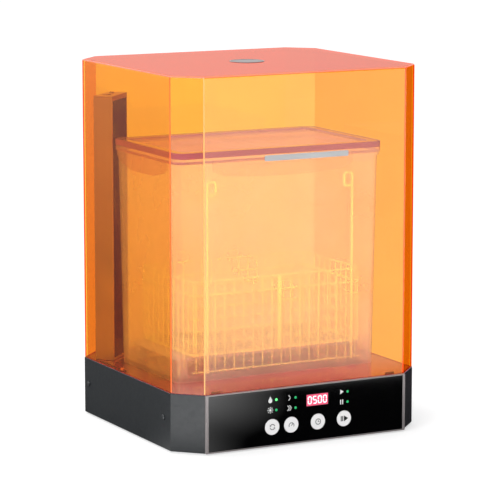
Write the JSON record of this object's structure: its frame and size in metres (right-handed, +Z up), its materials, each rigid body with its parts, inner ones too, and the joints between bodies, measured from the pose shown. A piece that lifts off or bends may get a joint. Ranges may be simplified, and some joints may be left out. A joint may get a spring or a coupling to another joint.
{
  "type": "resin print wash and cure station",
  "caption": "Tabletop station with a lift-off amber cover over a lidded rinse bucket, wire basket and magnetic impeller, with a curing-lamp column and a front control panel.",
  "frame": {"origin": "on the table under the centre of the base", "axes": "+Z up, +X to the right seen from the front, +Y to the back"},
  "size_m": [0.3452, 0.3192, 0.4596],
  "materials": {
    "powder_coat": "fine textured satin powder coat",
    "zinc_sheet": "zinc-plated sheet",
    "foot_rubber": "matte",
    "screw_black": "black oxide",
    "screw_steel": "bright zinc",
    "trim_grey": "satin silver-grey",
    "panel_black": "high gloss",
    "board_green": "solder mask",
    "brass_post": "machined",
    "display_red": "tinted window over a lit display",
    "led_green": "lit",
    "switch_black": "moulded",
    "button_white": "moulded",
    "component_grey": "moulded",
    "motor_can": "drawn steel can",
    "shaft_steel": "ground",
    "rotor_nylon": "moulded",
    "magnet_nickel": "nickel plated",
    "rocker_black": "moulded",
    "lead_black": "matte",
    "locator_rubber": "matte",
    "sensor_black": "moulded",
    "board_white": "white solder mask on aluminium",
    "emitter_violet": "clear dome",
    "column_alloy": "satin anodised extrusion",
    "lamp_glass": "smoked window",
    "amber_acrylic": "polished, amber, blocks ultraviolet",
    "plate_silver": "satin",
    "badge_silver": "satin",
    "tab_red": "moulded",
    "bucket_clear": "clear moulded plastic",
    "guard_plastic": "moulded",
    "impeller_plastic": "moulded",
    "basket_steel": "electropolished stainless wire",
    "lid_clear": "clear moulded plastic",
    "gasket_silicone": "purple silicone",
    "latch_clear": "clear moulded plastic"
  },
  "bodies": {
    "base": {"base_housing": "powder_coat", "bottom_plate": "zinc_sheet", "rubber_feet": "foot_rubber", "side_screws": "screw_black", "front_trim": "trim_grey", "front_panel": "panel_black", "control_board": "board_green", "board_standoffs": "brass_post", "display_module": "display_red", "indicator_leds": "led_green", "tact_switches": "switch_black", "main_board": "board_green", "main_board_posts": "brass_post", "internal_screws": "screw_steel", "board_components": "component_grey", "drive_motor": "motor_can", "motor_bracket": "zinc_sheet", "power_inlet": "switch_black", "rocker_bezel": "switch_black", "motor_lead": "lead_black", "inlet_lead": "lead_black", "lamp_lead": "lead_black", "cover_locators": "locator_rubber", "interlock_sensor": "sensor_black", "column_housing": "column_alloy", "column_cap": "column_alloy", "lamp_board": "board_white", "lamp_emitters": "emitter_violet", "lamp_window": "lamp_glass", "column_screws": "screw_steel"},
    "rotor": {"motor_shaft": "shaft_steel", "rotor_disc": "rotor_nylon", "rotor_magnets": "magnet_nickel"},
    "mode_button": {"mode_button": "button_white"},
    "speed_button": {"speed_button": "button_white"},
    "time_button": {"time_button": "button_white"},
    "start_button": {"start_button": "button_white"},
    "power_rocker": {"power_rocker": "rocker_black"},
    "cover": {"cover_shell": "amber_acrylic", "cover_nameplate": "plate_silver", "cover_badge": "badge_silver", "cover_magnet": "tab_red"},
    "bucket": {"bucket_shell": "bucket_clear", "impeller_guard": "guard_plastic", "impeller_pin": "shaft_steel"},
    "impeller": {"impeller": "impeller_plastic", "impeller_magnets": "magnet_nickel"},
    "basket": {"basket_front": "basket_steel", "basket_rear": "basket_steel", "basket_left": "basket_steel", "basket_right": "basket_steel", "basket_floor": "basket_steel", "basket_rails": "basket_steel", "basket_posts": "basket_steel"},
    "lid": {"lid_panel": "lid_clear", "lid_gasket": "gasket_silicone"},
    "latch_front": {"latch_front": "latch_clear"},
    "latch_rear": {"latch_rear": "latch_clear"},
    "latch_left": {"latch_left": "latch_clear"},
    "latch_right": {"latch_right": "latch_clear"}
  },
  "joints": [
    {"name": "cover_lift", "type": "slide", "parent": "base", "child": "cover", "axis": [0, 0, 1], "range_m": [0, 0.4]},
    {"name": "bucket_lift", "type": "slide", "parent": "base", "child": "bucket", "axis": [0, 0, 1], "range_m": [0, 0.09]},
    {"name": "lid_lift", "type": "slide", "parent": "bucket", "child": "lid", "axis": [0, 0, 1], "range_m": [0, 0.09]},
    {"name": "basket_lift", "type": "slide", "parent": "bucket", "child": "basket", "axis": [0, 0, 1], "range_m": [0, 0.025]},
    {"name": "latch_front_hinge", "type": "hinge", "parent": "lid", "child": "latch_front", "pos_m": [0.0007, -0.0958, 0.348], "axis": [-1, 0, 0], "range_deg": [0, 95]},
    {"name": "latch_rear_hinge", "type": "hinge", "parent": "lid", "child": "latch_rear", "pos_m": [0.0007, 0.0958, 0.348], "axis": [1, 0, 0], "range_deg": [0, 95]},
    {"name": "latch_left_hinge", "type": "hinge", "parent": "lid", "child": "latch_left", "pos_m": [-0.1463, 0, 0.348], "axis": [0, 1, 0], "range_deg": [0, 60]},
    {"name": "latch_right_hinge", "type": "hinge", "parent": "lid", "child": "latch_right", "pos_m": [0.1477, 0, 0.348], "axis": [0, -1, 0], "range_deg": [0, 60]},
    {"name": "rotor_spin", "type": "hinge", "parent": "base", "child": "rotor", "pos_m": [0, 0, 0.063], "axis": [0, 0, 1], "continuous": true},
    {"name": "impeller_spin", "type": "hinge", "parent": "bucket", "child": "impeller", "pos_m": [0, 0, 0.083], "axis": [0, 0, 1], "continuous": true},
    {"name": "mode_press", "type": "slide", "parent": "base", "child": "mode_button", "axis": [0, 1, 0], "range_m": [0, 0.0008], "stiffness_N_per_m": 1200, "springref_m": -0.0008},
    {"name": "speed_press", "type": "slide", "parent": "base", "child": "speed_button", "axis": [0, 1, 0], "range_m": [0, 0.0008], "stiffness_N_per_m": 1200, "springref_m": -0.0008},
    {"name": "time_press", "type": "slide", "parent": "base", "child": "time_button", "axis": [0, 1, 0], "range_m": [0, 0.0008], "stiffness_N_per_m": 1200, "springref_m": -0.0008},
    {"name": "start_press", "type": "slide", "parent": "base", "child": "start_button", "axis": [0, 1, 0], "range_m": [0, 0.0008], "stiffness_N_per_m": 1200, "springref_m": -0.0008},
    {"name": "power_rocker_tilt", "type": "hinge", "parent": "base", "child": "power_rocker", "pos_m": [0.092, 0.155, 0.038], "axis": [-1, 0, 0], "range_deg": [0, 18]}
  ],
  "couplings": [
    {"joint": "impeller_spin", "follows": "rotor_spin", "ratio": 1}
  ]
}
